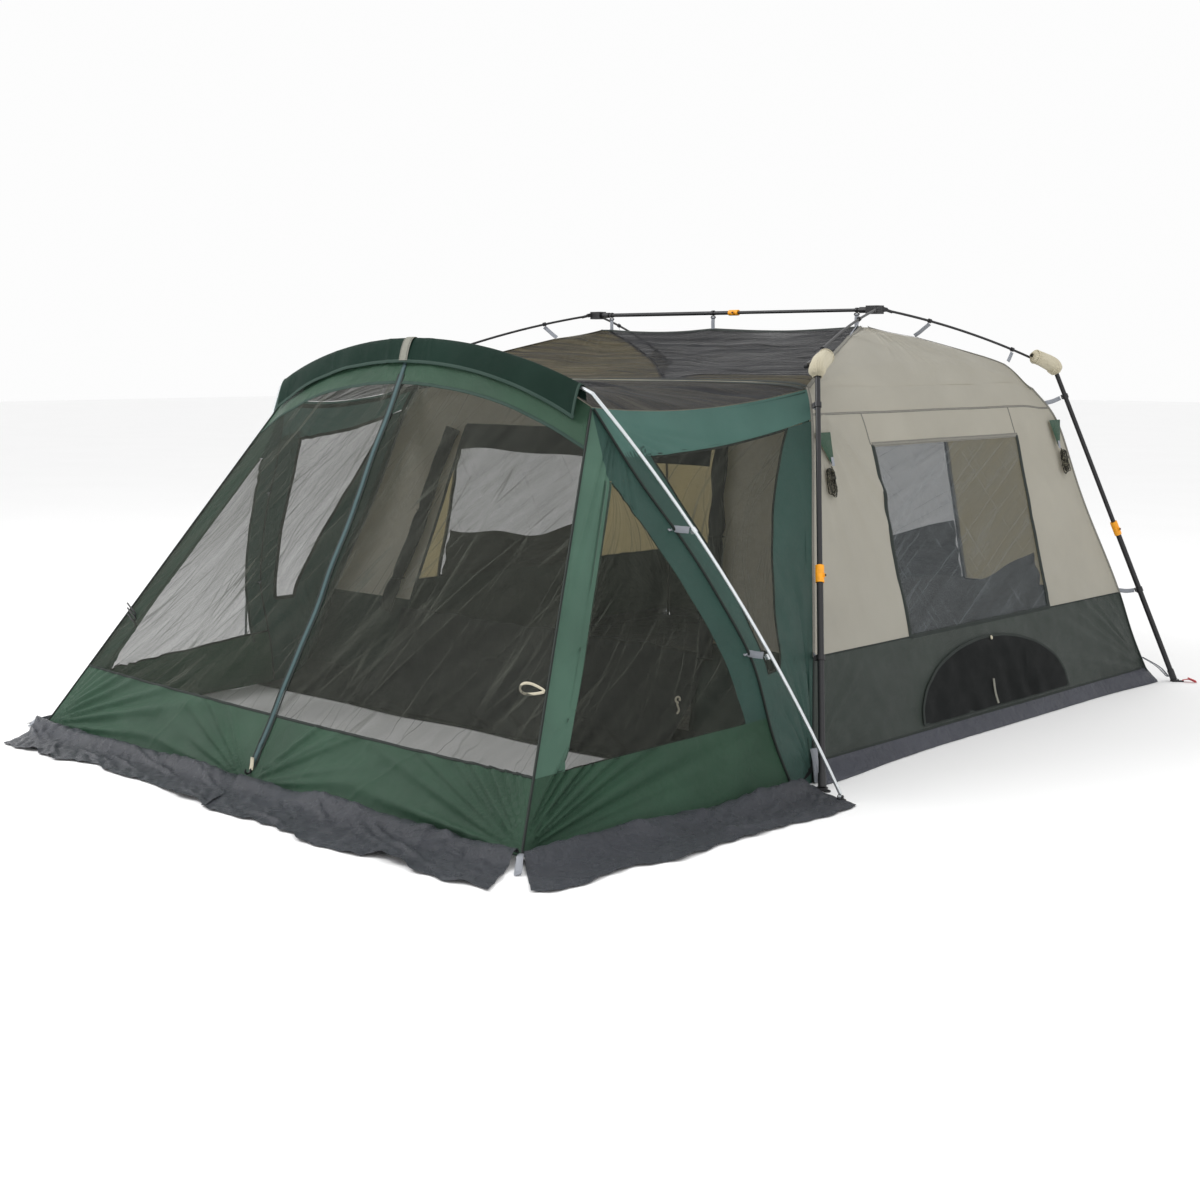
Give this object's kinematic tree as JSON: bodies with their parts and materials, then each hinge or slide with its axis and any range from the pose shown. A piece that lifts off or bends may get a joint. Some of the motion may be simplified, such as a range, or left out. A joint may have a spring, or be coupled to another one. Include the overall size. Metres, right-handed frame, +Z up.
{
  "type": "cabin tent with screen room",
  "caption": "Cabin tent on a black hub-and-pole frame with telescopic legs, with an arched green mesh screen room at its front.",
  "frame": {"origin": "on the ground under the middle of the ridge", "axes": "+X to the right seen from the screen room's front, +Y to the back, +Z up"},
  "size_m": [4.408, 5.5079, 2.122],
  "materials": {
    "tube_black": "satin black powder coat on steel tube",
    "tube_silver": "drawn, satin",
    "plastic_black": "moulded, fine grain",
    "plastic_orange": "moulded, smooth",
    "cloth_cream": "gathered cover cloth",
    "cloth_beige": "coated polyester, plain weave",
    "cloth_green": "coated polyester, plain weave",
    "cloth_charcoal": "crinkled coated groundsheet cloth",
    "mesh_black": "fine insect mesh",
    "webbing_grey": "woven webbing",
    "rope_olive": "braided cord"
  },
  "bodies": {
    "root": {"ridge_tube_outer": "tube_black", "ridge_tube_inner": "tube_black", "ridge_lock": "plastic_orange", "ridge_clips": "plastic_black", "hub_right": "plastic_black", "hub_left": "plastic_black", "floor": "cloth_charcoal", "wall_right": "cloth_beige", "wall_left": "cloth_beige", "wall_back": "cloth_beige", "wall_front": "cloth_beige", "roof_mesh": "mesh_black", "roof_hips": "cloth_beige", "windows": "mesh_black", "vent_flaps": "mesh_black", "door_rolls": "mesh_black", "door_curtain": "mesh_black", "screen_front": "cloth_green", "screen_side_right": "cloth_green", "screen_side_left": "cloth_green", "screen_roof": "mesh_black", "skirt": "cloth_charcoal", "peg_loops": "webbing_grey", "guy_rope_fr": "rope_olive", "guy_rope_fl": "rope_olive", "guy_rope_br": "rope_olive", "guy_rope_bl": "rope_olive"},
    "ridge_button": {"ridge_button": "plastic_black"},
    "arch_feet": {"arch_feet": "plastic_black"},
    "arch": {"arch_pole": "tube_silver", "arch_hood": "cloth_green"},
    "roof_pole_fr": {"roof_pole_fr": "tube_black", "elbow_cover_fr": "cloth_cream"},
    "leg_upper_fr": {"leg_upper_fr": "tube_black"},
    "leg_lower_fr": {"leg_lower_fr": "tube_black", "leg_lock_fr": "plastic_orange", "leg_foot_fr": "plastic_black"},
    "leg_button_fr": {"leg_button_fr": "plastic_black"},
    "roof_pole_fl": {"roof_pole_fl": "tube_black", "elbow_cover_fl": "cloth_cream"},
    "leg_upper_fl": {"leg_upper_fl": "tube_black"},
    "leg_lower_fl": {"leg_lower_fl": "tube_black", "leg_lock_fl": "plastic_orange", "leg_foot_fl": "plastic_black"},
    "leg_button_fl": {"leg_button_fl": "plastic_black"},
    "roof_pole_br": {"roof_pole_br": "tube_black", "elbow_cover_br": "cloth_cream"},
    "leg_upper_br": {"leg_upper_br": "tube_black"},
    "leg_lower_br": {"leg_lower_br": "tube_black", "leg_lock_br": "plastic_orange", "leg_foot_br": "plastic_black"},
    "leg_button_br": {"leg_button_br": "plastic_black"},
    "roof_pole_bl": {"roof_pole_bl": "tube_black", "elbow_cover_bl": "cloth_cream"},
    "leg_upper_bl": {"leg_upper_bl": "tube_black"},
    "leg_lower_bl": {"leg_lower_bl": "tube_black", "leg_lock_bl": "plastic_orange", "leg_foot_bl": "plastic_black"},
    "leg_button_bl": {"leg_button_bl": "plastic_black"}
  },
  "joints": [
    {"name": "frame_fold", "type": "hinge", "parent": "root", "child": "roof_pole_fr", "pos_m": [1.03, -0.045, 2.1], "axis": [0.9515, 0.3075, 0], "range_deg": [0, 30], "deforming": ["floor", "wall_right", "wall_left", "wall_back", "wall_front", "roof_mesh", "roof_hips", "windows", "vent_flaps", "door_rolls", "door_curtain", "screen_front", "screen_side_right", "screen_side_left", "screen_roof", "skirt", "peg_loops", "guy_rope_fr", "guy_rope_fl", "guy_rope_br", "guy_rope_bl"]},
    {"name": "elbow_fr", "type": "hinge", "parent": "roof_pole_fr", "child": "leg_upper_fr", "pos_m": [1.43, -1.107, 1.825], "axis": [-0.9491, -0.2594, -0.1788], "range_deg": [0, 8.5]},
    {"name": "leg_slide_fr", "type": "slide", "parent": "leg_upper_fr", "child": "leg_lower_fr", "axis": [-0.2575, 0.3122, 0.9145], "range_m": [0, 0.7301]},
    {"name": "leg_button_fr", "type": "slide", "parent": "leg_lower_fr", "child": "leg_button_fr", "axis": [-0.9491, -0.2594, -0.1788], "range_m": [0, 0.004], "stiffness_N_per_m": 300},
    {"name": "fold_fl", "type": "hinge", "parent": "root", "child": "roof_pole_fl", "pos_m": [-1.03, -0.045, 2.1], "axis": [0.9515, -0.3075, 0], "range_deg": [0, 30]},
    {"name": "elbow_fl", "type": "hinge", "parent": "roof_pole_fl", "child": "leg_upper_fl", "pos_m": [-1.43, -1.107, 1.825], "axis": [-0.9491, 0.2594, 0.1788], "range_deg": [0, 8.5]},
    {"name": "leg_slide_fl", "type": "slide", "parent": "leg_upper_fl", "child": "leg_lower_fl", "axis": [0.2575, 0.3122, 0.9145], "range_m": [0, 0.7301]},
    {"name": "leg_button_fl", "type": "slide", "parent": "leg_lower_fl", "child": "leg_button_fl", "axis": [0.9491, -0.2594, -0.1788], "range_m": [0, 0.004], "stiffness_N_per_m": 300},
    {"name": "fold_br", "type": "hinge", "parent": "root", "child": "roof_pole_br", "pos_m": [1.03, 0.045, 2.1], "axis": [-0.9515, 0.3075, 0], "range_deg": [0, 30]},
    {"name": "elbow_br", "type": "hinge", "parent": "roof_pole_br", "child": "leg_upper_br", "pos_m": [1.43, 1.107, 1.825], "axis": [0.9491, -0.2594, 0.1788], "range_deg": [0, 8.5]},
    {"name": "leg_slide_br", "type": "slide", "parent": "leg_upper_br", "child": "leg_lower_br", "axis": [-0.2575, -0.3122, 0.9145], "range_m": [0, 0.7301]},
    {"name": "leg_button_br", "type": "slide", "parent": "leg_lower_br", "child": "leg_button_br", "axis": [-0.9491, 0.2594, -0.1788], "range_m": [0, 0.004], "stiffness_N_per_m": 300},
    {"name": "fold_bl", "type": "hinge", "parent": "root", "child": "roof_pole_bl", "pos_m": [-1.03, 0.045, 2.1], "axis": [-0.9515, -0.3075, 0], "range_deg": [0, 30]},
    {"name": "elbow_bl", "type": "hinge", "parent": "roof_pole_bl", "child": "leg_upper_bl", "pos_m": [-1.43, 1.107, 1.825], "axis": [0.9491, 0.2594, -0.1788], "range_deg": [0, 8.5]},
    {"name": "leg_slide_bl", "type": "slide", "parent": "leg_upper_bl", "child": "leg_lower_bl", "axis": [0.2575, -0.3122, 0.9145], "range_m": [0, 0.7301]},
    {"name": "leg_button_bl", "type": "slide", "parent": "leg_lower_bl", "child": "leg_button_bl", "axis": [0.9491, 0.2594, -0.1788], "range_m": [0, 0.004], "stiffness_N_per_m": 300},
    {"name": "arch_slide", "type": "slide", "parent": "root", "child": "arch_feet", "axis": [0, 1, 0], "range_m": [0, 0.9791]},
    {"name": "arch_tilt", "type": "hinge", "parent": "arch_feet", "child": "arch", "pos_m": [0, -1.82418, 0.01544], "axis": [-1, 0, 0], "range_deg": [0, 8.03]},
    {"name": "ridge_button", "type": "slide", "parent": "root", "child": "ridge_button", "axis": [0, 1, 0], "range_m": [0, 0.003], "stiffness_N_per_m": 300}
  ],
  "couplings": [
    {"joint": "elbow_fr", "follows": "frame_fold", "ratio": 0.28333},
    {"joint": "leg_slide_fr", "follows": "frame_fold", "m_per_rad": 1.3942},
    {"joint": "fold_fl", "follows": "frame_fold", "ratio": 1},
    {"joint": "elbow_fl", "follows": "frame_fold", "ratio": 0.28333},
    {"joint": "leg_slide_fl", "follows": "frame_fold", "m_per_rad": 1.3942},
    {"joint": "fold_br", "follows": "frame_fold", "ratio": 1},
    {"joint": "elbow_br", "follows": "frame_fold", "ratio": 0.28333},
    {"joint": "leg_slide_br", "follows": "frame_fold", "m_per_rad": 1.3942},
    {"joint": "fold_bl", "follows": "frame_fold", "ratio": 1},
    {"joint": "elbow_bl", "follows": "frame_fold", "ratio": 0.28333},
    {"joint": "leg_slide_bl", "follows": "frame_fold", "m_per_rad": 1.3942},
    {"joint": "arch_slide", "follows": "frame_fold", "m_per_rad": 1.8698},
    {"joint": "arch_tilt", "follows": "frame_fold", "ratio": 0.26767}
  ]
}
